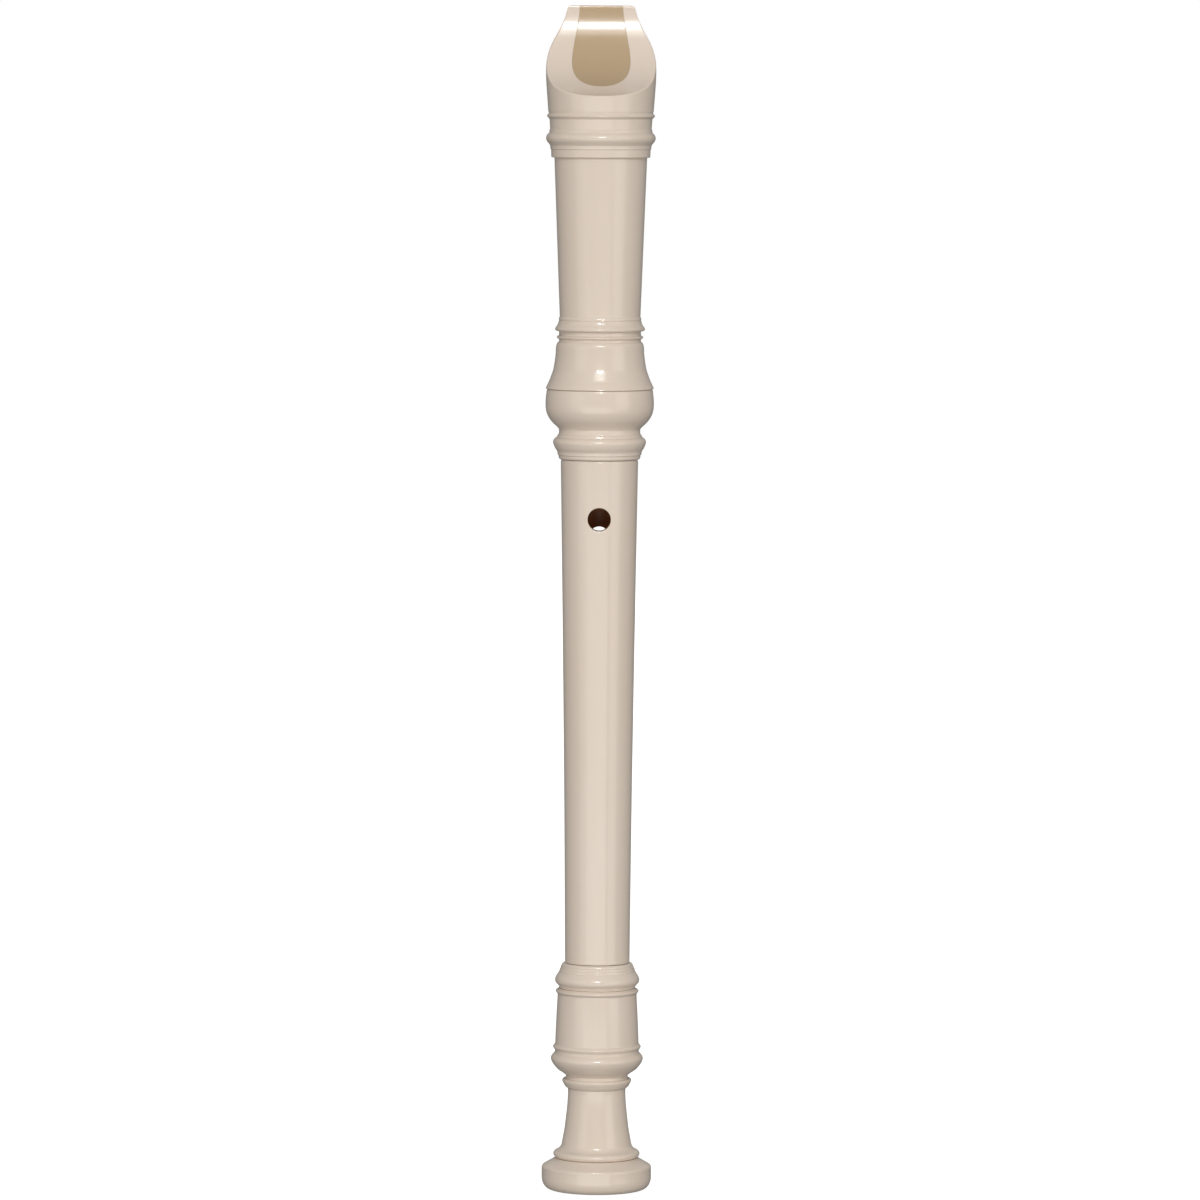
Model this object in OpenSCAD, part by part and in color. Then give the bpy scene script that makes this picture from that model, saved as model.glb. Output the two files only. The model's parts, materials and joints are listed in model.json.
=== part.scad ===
// Soprano recorder: three-joint, baroque style, moulded plastic.
// Head joint with a fitted block, middle joint with finger and thumb
// holes, and a turning foot joint. Millimetres, +Z towards the beak,
// origin at the centre of the foot's base. The thumb side faces -Y and
// the window and finger holes face +Y.

/* [Outer length] */
// Height of the beak's tip above the base
total_len = 330; // [329.8:0.1:330.4]
// Height of the head joint's lower end
head_end_z = 204.3; // [204.2:0.05:204.45]
// Height of the foot joint's upper end
foot_end_z = 63.6; // [63.5:0.05:63.65]

/* [Bore] */
// Bore radius of the head joint, below the window
head_bore_r = 7.3; // [7:0.05:7.5]
// Bore radius at the top of the middle joint
mid_bore_top_r = 6.2; // [5.9:0.05:6.5]
// Bore radius at the bottom of the middle joint
mid_bore_low_r = 5; // [4.8:0.05:5.2]
// Bore radius of the foot joint
foot_bore_r = 4.9; // [4.7:0.05:5.1]

/* [Sockets and tenons] */
// Radius of the head's socket
head_socket_r = 8.6; // [8.5:0.05:8.7]
// Radius of the foot's socket
foot_socket_r = 7.25; // [7.2:0.05:7.35]
// Radial play between a tenon's bands and its socket
joint_play = 0.03; // [0.02:0.01:0.08]
// Length of the upper tenon
upper_tenon_len = 18; // [16:0.5:18]
// Length of the lower tenon
lower_tenon_len = 13.4; // [12:0.2:13.4]
// Gap left between a shoulder and the end of its neighbour
shoulder_gap = 0.1; // [0.05:0.05:0.2]
// Depth of the recesses between a tenon's bands
band_depth = 0.2; // [0.1:0.05:0.3]

/* [Beak and block] */
// Radius of the hollow that thins the beak
beak_cut_r = 26; // [25.8:0.1:26.2]
// Distance of the beak's tip from the axis, on the thumb side
tip_y = 5.3; // [5.1:0.1:5.6]
// Radius of the block's seat
seat_r = 8.05; // [8:0.05:8.2]
// Radial play round the block
block_play = 0.02; // [0.01:0.01:0.04]

/* [Windway and window] */
// Width of the windway, window and lip
windway_w = 11.5; // [11:0.1:11.6]
// Height of the windway where it opens into the window
windway_exit_h = 1; // [0.8:0.1:1.2]
// Height of the windway at the beak's tip
windway_entry_h = 1.4; // [1.2:0.1:1.6]
// Distance from the windway's end to the lip's edge
cut_up = 4.2; // [3.8:0.1:4.6]
// Height of the lip's edge above the base
lip_z = 289.4; // [289.2:0.1:289.6]
// Slope of the ramp above the lip, degrees
ramp_angle = 13; // [12:0.5:15]
// Slope of the undercut behind the lip, degrees
undercut_angle = 8; // [7:0.5:9]

/* [Holes] */
// Diameter of the thumb hole
thumb_d = 6.4; // [6:0.1:6.8]
// Height of the thumb hole
thumb_z = 188; // [187:0.1:189]
// Diameters of the single finger holes, from the top one down
finger_d = [5.5, 5.6, 5.6, 5, 5.8]; // [4:0.1:6]
// Heights of the single finger holes, from the top one down
finger_z = [182.4, 164, 145, 122.5, 104]; // [100:0.1:190]
// Height of the lowest pair of holes on the middle joint
sixth_z = 85; // [83:0.1:87]
// Height of the pair of holes on the foot
seventh_z = 46.6; // [45.5:0.1:46.8]
// Diameter of the larger hole of each pair
pair_big_d = 3.6; // [3.2:0.1:3.8]
// Diameter of the smaller hole of each pair
pair_small_d = 2.8; // [2.4:0.1:3]
// Distance from the centre line to each hole of a pair
pair_x = 2.3; // [2.2:0.1:2.5]

/* [Rings] */
// Radius of the sleeve under the head's socket ring
head_sleeve_r = 9.95; // [9.8:0.05:10]
// Radius of the sleeve under the foot's socket ring
foot_sleeve_r = 8.4; // [8.3:0.05:8.5]
// Radius of the spigot inside the base ring
spigot_r = 9; // [8.8:0.1:9.2]
// Glue gap between a ring and what it sits on
glue_gap = 0.05; // [0.03:0.01:0.08]
// Radius of the base ring
base_r = 15.3; // [15.3:0.1:15.5]

/* [Hidden] */
$fn = 96;
ivory = [0.87, 0.82, 0.75];
ivory_ring = [0.90, 0.85, 0.79];
tan = [0.74, 0.65, 0.51];
seam_z = 223.8;          // joint line under the head's flare
foot_seam_z = 56.5;      // joint line under the foot's socket ring
base_seam_z = 8.85;      // joint line over the base ring
exit_z = lip_z + cut_up; // lower end of the windway and of the block
arch_y = -5.5;           // centre of the windway's arch
floor_r = 12.5;          // radius of the windway's floor
beak_cy = tip_y - beak_cut_r;
beak_cz = total_len + 0.4;
upper_end_z = head_end_z - shoulder_gap + upper_tenon_len;
lower_end_z = foot_end_z + shoulder_gap - lower_tenon_len;
head_socket_z = upper_end_z + 0.4;
foot_socket_z = lower_end_z - 0.3;

// A turned outline is a list of [height, radius, bend]. The outline
// turns smoothly through a point whose bend is 1 and has a corner at
// one whose bend is 0.
function unit2(v) = v / max(norm(v), 0.000001);
function at(p, i) = [p[i][1], p[i][0]];
function turn(p, i) =
    let (a = at(p, i) - at(p, i - 1), b = at(p, i + 1) - at(p, i))
    unit2(unit2(a) * norm(b) + unit2(b) * norm(a));
function smooth_at(p, i) = i > 0 && i < len(p) - 1 && p[i][2] == 1;
function mirror_dir(d, t) = 2 * (d * t) * d - t;
function span_point(a, b, ta, tb, t) =
    let (l = norm(b - a), t2 = t * t, t3 = t2 * t)
    a * (2 * t3 - 3 * t2 + 1) + ta * l * (t3 - 2 * t2 + t)
    + b * (3 * t2 - 2 * t3) + tb * l * (t3 - t2);
function turned(p, n = 3) = [
    for (i = [0 : len(p) - 2])
        let (a = at(p, i), b = at(p, i + 1), d = unit2(b - a),
             sa = smooth_at(p, i), sb = smooth_at(p, i + 1),
             ta = sa ? turn(p, i) : sb ? mirror_dir(d, turn(p, i + 1)) : d,
             tb = sb ? turn(p, i + 1) : sa ? mirror_dir(d, turn(p, i)) : d)
        for (k = [0 : (sa || sb) ? n - 1 : 0])
            span_point(a, b, ta, tb, k / n),
    at(p, len(p) - 1)
];

// Outlines of the turned mouldings, from low to high
head_line = [
    // flare over the socket ring
    [seam_z, 14.8, 0], [223.95, 15, 0], [224.1, 14.98, 0],
    [225.2, 14.5, 1], [226.3, 13.98, 1], [227.5, 13.54, 1], [229.1, 13, 1],
    [230.8, 12.66, 1], [232.5, 12.42, 1], [234, 12.28, 1], [235.3, 12.22, 1],
    [236.15, 12.06, 1], [236.7, 11.76, 1], [237, 11.38, 0],
    // thin bead between two grooves
    [237.65, 11.38, 0], [237.85, 11.76, 1], [238.2, 12.02, 1],
    [238.5, 11.8, 1], [238.7, 11.38, 0],
    // flange with a cove above it
    [239.8, 11.38, 0], [239.95, 12.1, 0], [240.2, 12.4, 1],
    [240.55, 12.48, 1], [240.9, 12.34, 1], [241.4, 11.98, 1],
    [242, 11.66, 1], [242.7, 11.5, 0], [242.85, 11.3, 0],
    [243.2, 11.46, 1], [243.5, 11.4, 1], [243.9, 11.2, 0],
    // barrel
    [287.9, 12.85, 0],
    // collar, bead and cylinder of the window's rings
    [288, 13.6, 0], [288.15, 13.72, 0], [290.2, 13.8, 0],
    [290.3, 13.98, 0], [291.2, 14.04, 0], [291.4, 14.12, 0],
    [291.9, 14.5, 1], [292.55, 14.98, 1], [293.4, 15.2, 1],
    [294.05, 15.02, 1], [294.5, 14.68, 1], [294.85, 14.3, 0],
    [295.65, 14.26, 0], [295.8, 14.06, 0], [298.55, 14.26, 0],
    [298.75, 14.38, 0], [299.1, 14.76, 1], [299.4, 14.98, 1],
    [299.8, 14.8, 1], [300.15, 14.48, 0], [300.45, 14.48, 0],
    // beak
    [300.7, 14.6, 0], [303.9, 14.84, 1], [307.2, 15.08, 1],
    [309.4, 15.22, 1], [311.6, 15.26, 1], [313.4, 15.22, 1],
    [315, 15.08, 1], [317.7, 14.6, 1], [320.5, 13.72, 1],
    [323.2, 12.56, 1], [326, 11.6, 1], [328.6, 11, 1],
    [329.4, 10.76, 1], [total_len - 0.15, 10.45, 1], [total_len, 10.05, 0]
];
head_ring_line = [
    [head_end_z, 10.95, 0], [204.5, 11.2, 1], [204.85, 11.36, 0],
    [205.45, 11.4, 0], [205.55, 11.64, 0], [206.3, 11.72, 0],
    [206.75, 11.9, 0], [207.5, 12.4, 1], [208.35, 12.76, 1], [209.1, 12.92, 1],
    [209.65, 12.78, 1], [210.15, 12.38, 1], [210.5, 11.84, 0],
    [211.05, 11.66, 0], [211.3, 11.38, 0], [212, 11.28, 1],
    [212.7, 11.34, 0], [213.15, 11.7, 1], [214.15, 12.78, 1],
    [215.25, 13.74, 1], [216.35, 14.4, 1], [217.4, 14.8, 1],
    [218.5, 15, 1], [219.7, 15.06, 1], [220.9, 15.02, 1], [222.1, 14.9, 1],
    [223.2, 14.76, 1], [223.62, 14.66, 0], [seam_z - glue_gap, 14.52, 0]
];
middle_line = [
    [foot_end_z + shoulder_gap, 8.9, 0], [64, 9, 0], [88, 9.2, 1],
    [112, 9.44, 1], [134, 9.72, 1], [156, 10.02, 1], [180, 10.37, 1],
    [203.6, 10.74, 0], [head_end_z - shoulder_gap, 10.6, 0]
];
foot_ring_line = [
    [foot_seam_z + glue_gap, 10.5, 0], [57, 10.68, 0], [57.55, 11.08, 1],
    [58.1, 11.6, 1], [58.7, 11.76, 1], [59.25, 11.7, 1], [59.8, 11.48, 1],
    [60.35, 11.14, 1], [60.95, 10.76, 0], [61.1, 10.56, 0],
    [61.85, 10.46, 0], [62, 10.22, 0], [62.65, 10.14, 0], [62.8, 9.9, 0],
    [63.3, 9.76, 1], [63.52, 9.5, 1], [foot_end_z, 9.2, 0]
];
foot_line = [
    // cove over the base ring
    [base_seam_z, 11.2, 0], [9.15, 11.68, 1], [9.55, 11.98, 1],
    [10.05, 12.06, 1], [10.5, 11.84, 1], [10.85, 11.38, 0],
    [11.25, 10.66, 1], [11.9, 10.04, 1], [12.8, 9.72, 0], [14.7, 9.36, 1],
    // waist
    [16.9, 8.96, 1], [19.2, 8.68, 1], [21.5, 8.42, 1], [23.7, 8.2, 1],
    [25.9, 8.06, 1], [27.3, 8.02, 1], [28.3, 8.08, 0],
    // ring under the bulb
    [28.45, 8.3, 0], [28.85, 8.78, 1], [29.5, 9.2, 1], [30.05, 9.5, 1], [30.5, 9.64, 1],
    [30.85, 9.54, 1], [31.1, 9.2, 0], [31.2, 8.7, 0], [32, 8.6, 0],
    [32.25, 8.9, 0],
    // bulb
    [33, 9.9, 1], [33.55, 10.76, 1], [34.15, 11.38, 1],
    [34.75, 11.9, 1], [35.4, 12.36, 1], [36.1, 12.7, 1], [36.75, 12.86, 1],
    [37.3, 12.72, 1], [37.85, 12.34, 1], [38.4, 11.74, 0],
    // ring over the bulb
    [39.1, 11.68, 0], [39.65, 12.08, 1], [40, 12.26, 1], [40.4, 12.08, 1],
    [40.8, 11.66, 0],
    // barrel
    [47.3, 11.4, 1], [54.6, 11.02, 0],
    // bead under the socket ring
    [54.95, 11.06, 0], [55.35, 11.42, 1], [55.7, 11.58, 1], [56.02, 11.4, 1],
    [56.22, 11, 0], [foot_seam_z, 10.7, 0]
];
base_line = [
    [0, 12.9, 0], [0.2, 13.6, 1], [0.6, 14.2, 1], [1.2, 14.72, 1],
    [2, 15.08, 1], [2.8, 15.26, 1], [3.6, base_r, 0], [6, base_r, 0], [6.4, 15.22, 1],
    [6.75, 14.9, 0], [base_seam_z - glue_gap, 11.4, 0]
];

// Bands round a tenon: [from, to] as parts of its length
bands = [[0.04, 0.22], [0.32, 0.37], [0.44, 0.49], [0.56, 0.61],
         [0.7, 0.92]];
// Outline of a tenon, from its shoulder to its free end
function tenon_line(z0, len, r, dir) = concat(
    [for (b = bands) each [
        [r - band_depth, z0 + dir * len * b[0]],
        [r, z0 + dir * (len * b[0] + 0.1)],
        [r, z0 + dir * (len * b[1] - 0.1)],
        [r - band_depth, z0 + dir * len * b[1]]]],
    [[r - band_depth, z0 + dir * (len - 0.5)],
     [r - band_depth - 0.5, z0 + dir * len]]);
function flip(l) = [for (i = [len(l) - 1 : -1 : 0]) l[i]];

module hole(x, z, d, side) {
    translate([x, side * 2, z])
        rotate([side > 0 ? -90 : 90, 0, 0]) cylinder(h = 20, d = d);
}

// A cylinder along Z that leans towards +Y by an angle, and passes
// through the windway's arch at the height z
module leaning(z, r, angle) {
    translate([0, arch_y, z]) rotate([angle, 0, 0])
        translate([0, 0, -40]) cylinder(h = 80, r = r);
}

// Hollow on the thumb side of the beak
module beak_cut() {
    translate([-20, beak_cy, beak_cz]) rotate([0, 90, 0])
        cylinder(h = 40, r = beak_cut_r, $fn = 192);
}

module windway_slot() {
    intersection() {
        translate([-windway_w / 2, 3, exit_z])
            cube([windway_w, 12, total_len - exit_z + 1]);
        translate([0, arch_y, exit_z])
            cylinder(h = total_len - exit_z,
                     r1 = floor_r + windway_exit_h,
                     r2 = floor_r + windway_entry_h, $fn = 192);
    }
}

module head_body() {
    color(ivory) difference() {
        rotate_extrude() polygon(concat(
            [[head_socket_r + 0.3, head_end_z],
             [head_sleeve_r, head_end_z], [head_sleeve_r, seam_z]],
            turned(head_line),
            [[seat_r, total_len], [seat_r, exit_z - 0.1],
             [head_bore_r, exit_z - 0.1], [head_bore_r, head_socket_z],
             [head_socket_r, head_socket_z],
             [head_socket_r, head_end_z + 0.3]]));
        beak_cut();
        windway_slot();
        // window
        translate([-windway_w / 2, 4, lip_z]) cube([windway_w, 16, cut_up]);
        // ramp down to the lip
        difference() {
            translate([-windway_w / 2, 4, lip_z - 26])
                cube([windway_w, 16, 26.01]);
            leaning(lip_z, (floor_r + 0.8) * cos(ramp_angle), ramp_angle);
        }
        // undercut behind the lip
        intersection() {
            translate([-windway_w / 2, 2, lip_z - 15])
                cube([windway_w, 12, 15.01]);
            leaning(lip_z, (floor_r + 0.5) * cos(undercut_angle),
                    -undercut_angle);
        }
    }
}

module block() {
    color(tan) difference() {
        intersection() {
            translate([0, 0, exit_z])
                cylinder(h = total_len - exit_z, r = seat_r - block_play);
            // windway's floor, with a chamfer where it meets the window
            translate([0, arch_y, exit_z]) rotate_extrude($fn = 192)
                polygon([[0, -1], [floor_r - 0.3, -1], [floor_r - 0.3, 0],
                         [floor_r, 0.3], [floor_r, total_len - exit_z + 1],
                         [0, total_len - exit_z + 1]]);
        }
        beak_cut();
    }
}

module head_socket_ring() {
    color(ivory_ring) rotate_extrude() polygon(concat(
        [[head_sleeve_r + glue_gap, head_end_z]],
        turned(head_ring_line),
        [[head_sleeve_r + glue_gap, seam_z - glue_gap]]));
}

module middle_joint() {
    zl = foot_end_z + shoulder_gap;
    zh = head_end_z - shoulder_gap;
    color(ivory) difference() {
        rotate_extrude() polygon(concat(
            [[mid_bore_low_r, lower_end_z]],
            flip(tenon_line(zl, lower_tenon_len,
                            foot_socket_r - joint_play, -1)),
            [[foot_socket_r - joint_play - band_depth, zl]],
            turned(middle_line),
            [[head_socket_r - joint_play - band_depth, zh]],
            tenon_line(zh, upper_tenon_len, head_socket_r - joint_play, 1),
            [[mid_bore_top_r, upper_end_z]]));
        hole(0, thumb_z, thumb_d, -1);
        for (i = [0 : len(finger_z) - 1])
            hole(0, finger_z[i], finger_d[i], 1);
        hole(pair_x, sixth_z, pair_big_d, 1);
        hole(-pair_x, sixth_z, pair_small_d, 1);
    }
}

module foot_socket_ring() {
    color(ivory_ring) rotate_extrude() polygon(concat(
        [[foot_sleeve_r + glue_gap, foot_seam_z + glue_gap]],
        turned(foot_ring_line),
        [[foot_sleeve_r + glue_gap, foot_end_z]]));
}

module foot_body() {
    color(ivory) difference() {
        rotate_extrude() polygon(concat(
            [[foot_bore_r + 0.7, 0.8], [spigot_r - 0.3, 0.8],
             [spigot_r, 1.1], [spigot_r, base_seam_z]],
            turned(foot_line),
            [[foot_sleeve_r, foot_seam_z], [foot_sleeve_r, foot_end_z],
             [foot_socket_r + 0.3, foot_end_z],
             [foot_socket_r, foot_end_z - 0.3],
             [foot_socket_r, foot_socket_z], [foot_bore_r, foot_socket_z],
             [foot_bore_r, 1.5]]));
        hole(pair_x, seventh_z, pair_big_d, 1);
        hole(-pair_x, seventh_z, pair_small_d, 1);
    }
}

module foot_base_ring() {
    color(ivory_ring) rotate_extrude() polygon(concat(
        [[spigot_r + glue_gap, 0.8], [spigot_r + 1.2, 0]],
        turned(base_line),
        [[spigot_r + glue_gap, base_seam_z - glue_gap]]));
}

head_body();
block();
head_socket_ring();
middle_joint();
foot_socket_ring();
foot_body();
foot_base_ring();
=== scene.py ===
"""Soprano recorder: the looks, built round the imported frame.

Outlines are in millimetres, in the frame's own axes: +Z runs up to the
beak, the thumb side faces -Y and the window and finger holes face +Y.
Each piece is one closed mesh, welded from sheets that carry their own
exact normals, so that the gloss runs smoothly over turned surfaces.
"""

import json
import math

import bmesh
import bpy
import numpy as np
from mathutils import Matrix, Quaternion, Vector

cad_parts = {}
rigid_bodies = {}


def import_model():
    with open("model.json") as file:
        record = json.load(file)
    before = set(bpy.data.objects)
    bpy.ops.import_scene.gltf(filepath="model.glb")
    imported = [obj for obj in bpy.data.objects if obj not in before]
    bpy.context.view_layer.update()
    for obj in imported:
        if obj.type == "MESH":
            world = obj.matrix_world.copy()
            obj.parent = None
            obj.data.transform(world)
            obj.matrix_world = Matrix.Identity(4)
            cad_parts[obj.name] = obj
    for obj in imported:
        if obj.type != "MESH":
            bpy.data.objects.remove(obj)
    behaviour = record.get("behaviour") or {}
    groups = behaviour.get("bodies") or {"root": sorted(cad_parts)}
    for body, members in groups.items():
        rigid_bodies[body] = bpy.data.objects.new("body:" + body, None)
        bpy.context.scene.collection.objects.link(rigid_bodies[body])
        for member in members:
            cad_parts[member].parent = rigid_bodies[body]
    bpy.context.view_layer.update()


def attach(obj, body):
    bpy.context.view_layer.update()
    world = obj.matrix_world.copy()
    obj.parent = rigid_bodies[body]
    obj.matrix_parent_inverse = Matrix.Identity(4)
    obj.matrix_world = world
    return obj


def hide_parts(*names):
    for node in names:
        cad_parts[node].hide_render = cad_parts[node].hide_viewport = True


for start_object in list(bpy.data.objects):      # the start-up cube, lamp and camera
    bpy.data.objects.remove(start_object)
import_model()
MM = 0.001

# ---------------------------------------------------------------- sizes
TOTAL, HEAD_END, FOOT_END = 330.0, 204.3, 63.6
HEAD_BORE, BORE_TOP, BORE_LOW, FOOT_BORE = 7.3, 6.2, 5.0, 4.9
HEAD_SOCKET, FOOT_SOCKET, PLAY = 8.6, 7.25, 0.03
SEAT, BLOCK_R = 8.05, 8.03
HALF = 5.75                      # half the width of window and windway
LIP, EXIT = 289.4, 293.6
ARCH_Y, FLOOR_R = -5.5, 12.5
SEAM, FOOT_SEAM, BASE_SEAM, GLUE = 223.8, 56.5, 8.85, 0.05
HEAD_SLEEVE, FOOT_SLEEVE, SPIGOT = 9.95, 8.4, 9.0
UPPER_END, LOWER_END = 222.2, 50.3
HEAD_SOCKET_Z, FOOT_SOCKET_Z = 222.6, 50.0

head_line = [
    [SEAM, 14.8, 0], [223.95, 15, 0], [224.1, 14.98, 0],
    [225.2, 14.5, 1], [226.3, 13.98, 1], [227.5, 13.54, 1], [229.1, 13, 1],
    [230.8, 12.66, 1], [232.5, 12.42, 1], [234, 12.28, 1], [235.3, 12.22, 1],
    [236.15, 12.06, 1], [236.7, 11.76, 1], [237, 11.38, 0],
    [237.65, 11.38, 0], [237.85, 11.76, 1], [238.2, 12.02, 1],
    [238.5, 11.8, 1], [238.7, 11.38, 0],
    [239.8, 11.38, 0], [239.95, 12.1, 0], [240.2, 12.4, 1],
    [240.55, 12.48, 1], [240.9, 12.34, 1], [241.4, 11.98, 1],
    [242, 11.66, 1], [242.7, 11.5, 0], [242.85, 11.3, 0],
    [243.2, 11.46, 1], [243.5, 11.4, 1], [243.9, 11.2, 0],
    [287.9, 12.85, 0],
    [288, 13.6, 0], [288.15, 13.72, 0], [290.2, 13.8, 0],
    [290.3, 13.98, 0], [291.2, 14.04, 0], [291.4, 14.12, 0],
    [291.9, 14.5, 1], [292.55, 14.98, 1], [293.4, 15.2, 1],
    [294.05, 15.02, 1], [294.5, 14.68, 1], [294.85, 14.3, 0],
    [295.65, 14.26, 0], [295.8, 14.06, 0], [298.55, 14.26, 0],
    [298.75, 14.38, 0], [299.1, 14.76, 1], [299.4, 14.98, 1],
    [299.8, 14.8, 1], [300.15, 14.48, 0], [300.45, 14.48, 0],
    [300.7, 14.6, 0], [303.9, 14.84, 1], [307.2, 15.08, 1],
    [309.4, 15.22, 1], [311.6, 15.26, 1], [313.4, 15.22, 1],
    [315, 15.08, 1], [317.7, 14.6, 1], [320.5, 13.72, 1],
    [323.2, 12.56, 1], [326, 11.6, 1], [328.6, 11, 1],
    [329.4, 10.76, 1], [329.85, 10.45, 1], [TOTAL, 10.05, 0]]
head_ring_line = [
    [HEAD_END, 10.95, 0], [204.5, 11.2, 1], [204.85, 11.36, 0],
    [205.45, 11.4, 0], [205.55, 11.64, 0], [206.3, 11.72, 0],
    [206.75, 11.9, 0], [207.5, 12.4, 1], [208.35, 12.76, 1], [209.1, 12.92, 1],
    [209.65, 12.78, 1], [210.15, 12.38, 1], [210.5, 11.84, 0],
    [211.05, 11.66, 0], [211.3, 11.38, 0], [212, 11.28, 1],
    [212.7, 11.34, 0], [213.15, 11.7, 1], [214.15, 12.78, 1],
    [215.25, 13.74, 1], [216.35, 14.4, 1], [217.4, 14.8, 1],
    [218.5, 15, 1], [219.7, 15.06, 1], [220.9, 15.02, 1], [222.1, 14.9, 1],
    [223.2, 14.76, 1], [223.62, 14.66, 0], [SEAM - GLUE, 14.52, 0]]
middle_line = [
    [FOOT_END + 0.1, 8.9, 0], [64, 9, 0], [88, 9.2, 1],
    [112, 9.44, 1], [134, 9.72, 1], [156, 10.02, 1], [180, 10.37, 1],
    [203.6, 10.74, 0], [HEAD_END - 0.1, 10.6, 0]]
foot_ring_line = [
    [FOOT_SEAM + GLUE, 10.5, 0], [57, 10.68, 0], [57.55, 11.08, 1],
    [58.1, 11.6, 1], [58.7, 11.76, 1], [59.25, 11.7, 1], [59.8, 11.48, 1],
    [60.35, 11.14, 1], [60.95, 10.76, 0], [61.1, 10.56, 0],
    [61.85, 10.46, 0], [62, 10.22, 0], [62.65, 10.14, 0], [62.8, 9.9, 0],
    [63.3, 9.76, 1], [63.52, 9.5, 1], [FOOT_END, 9.2, 0]]
foot_line = [
    [BASE_SEAM, 11.2, 0], [9.15, 11.68, 1], [9.55, 11.98, 1],
    [10.05, 12.06, 1], [10.5, 11.84, 1], [10.85, 11.38, 0],
    [11.25, 10.66, 1], [11.9, 10.04, 1], [12.8, 9.72, 0], [14.7, 9.36, 1],
    [16.9, 8.96, 1], [19.2, 8.68, 1], [21.5, 8.42, 1], [23.7, 8.2, 1],
    [25.9, 8.06, 1], [27.3, 8.02, 1], [28.3, 8.08, 0],
    [28.45, 8.3, 0], [28.85, 8.78, 1], [29.5, 9.2, 1], [30.05, 9.5, 1], [30.5, 9.64, 1],
    [30.85, 9.54, 1], [31.1, 9.2, 0], [31.2, 8.7, 0], [32, 8.6, 0],
    [32.25, 8.9, 0],
    [33, 9.9, 1], [33.55, 10.76, 1], [34.15, 11.38, 1],
    [34.75, 11.9, 1], [35.4, 12.36, 1], [36.1, 12.7, 1], [36.75, 12.86, 1],
    [37.3, 12.72, 1], [37.85, 12.34, 1], [38.4, 11.74, 0],
    [39.1, 11.68, 0], [39.65, 12.08, 1], [40, 12.26, 1], [40.4, 12.08, 1],
    [40.8, 11.66, 0],
    [47.3, 11.4, 1], [54.6, 11.02, 0],
    [54.95, 11.06, 0], [55.35, 11.42, 1], [55.7, 11.58, 1], [56.02, 11.4, 1],
    [56.22, 11, 0], [FOOT_SEAM, 10.7, 0]]
base_line = [
    [0, 12.9, 0], [0.2, 13.6, 1], [0.6, 14.2, 1], [1.2, 14.72, 1],
    [2, 15.08, 1], [2.8, 15.26, 1], [3.6, 15.3, 0], [6, 15.3, 0],
    [6.4, 15.22, 1], [6.75, 14.9, 0], [BASE_SEAM - GLUE, 11.4, 0]]


# ------------------------------------------------------------- outlines
def unit(v):
    v = np.asarray(v, float)
    return v / np.maximum(np.linalg.norm(v, axis=-1, keepdims=True), 1e-12)


def outline(points, n=5, ease=0.09, step=4.0):
    """Rows (r, z, nr, nz) along an outline of [z, r, bend] points.

    The outline curves smoothly through a point whose bend is 1. One whose
    bend is 0 is a corner, which is eased by a small round. The normal lies
    to the right of the way the outline runs.
    """
    p = np.array([[q[1], q[0]] for q in points], float)
    bend = [q[2] if 0 < i < len(p) - 1 else 0 for i, q in enumerate(points)]

    def turn(i):
        a, b = p[i] - p[i - 1], p[i + 1] - p[i]
        return unit(unit(a) * np.linalg.norm(b) + unit(b) * np.linalg.norm(a))

    pos, tan, marks = [], [], []
    for i in range(len(p) - 1):
        a, b = p[i], p[i + 1]
        d, length = unit(b - a), np.linalg.norm(b - a)
        sa, sb = bend[i] == 1, bend[i + 1] == 1
        ta = turn(i) if sa else 2 * (d @ turn(i + 1)) * d - turn(i + 1) if sb else d
        tb = turn(i + 1) if sb else 2 * (d @ turn(i)) * d - turn(i) if sa else d
        steps = n if sa or sb else max(1, math.ceil(length / step))
        marks.append(len(pos))
        for k in range(steps):
            t = k / steps
            pos.append(a * (2 * t**3 - 3 * t**2 + 1) + ta * length * (t**3 - 2 * t**2 + t)
                       + b * (3 * t**2 - 2 * t**3) + tb * length * (t**3 - t**2))
            tan.append(unit(a * (6 * t**2 - 6 * t) + ta * length * (3 * t**2 - 4 * t + 1)
                            + b * (6 * t - 6 * t**2) + tb * length * (3 * t**2 - 2 * t)
                            if sa or sb else d))
    marks.append(len(pos))
    pos.append(p[-1])
    tan.append(unit(p[-1] - pos[-2]))
    pos, tan = np.array(pos), np.array(tan)
    s = np.concatenate([[0], np.cumsum(np.linalg.norm(np.diff(pos, axis=0), axis=1))])

    def at(t):
        return (np.array([np.interp(t, s, pos[:, 0]), np.interp(t, s, pos[:, 1])]),
                unit([np.interp(t, s, tan[:, 0]), np.interp(t, s, tan[:, 1])]))

    corners = {}
    for i in range(1, len(p) - 1):
        if bend[i] == 0:
            m = marks[i]
            before, after = unit(pos[m] - pos[m - 1]), unit(pos[m + 1] - pos[m])
            if before @ after < 0.995:
                room = min(s[m] - s[marks[i - 1]], s[marks[i + 1]] - s[m])
                corners[m] = (s[m], min(ease, 0.45 * room), before, after)
    rows = []
    for k in range(len(pos)):
        if k in corners:
            c, e, before, after = corners[k]
            a, b = at(c - e)[0], at(c + e)[0]
            for t in (0, 0.25, 0.5, 0.75, 1):
                rows.append((*((1 - t)**2 * a + 2 * t * (1 - t) * pos[k] + t * t * b),
                             *unit((1 - t) * before + t * after)))
        elif not any(abs(s[k] - c) < e + 1e-6 for c, e, _, _ in corners.values()):
            rows.append((*pos[k], *tan[k]))
    rows = np.array(rows)
    return np.column_stack([rows[:, 0], rows[:, 1], rows[:, 3], -rows[:, 2]])


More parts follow.
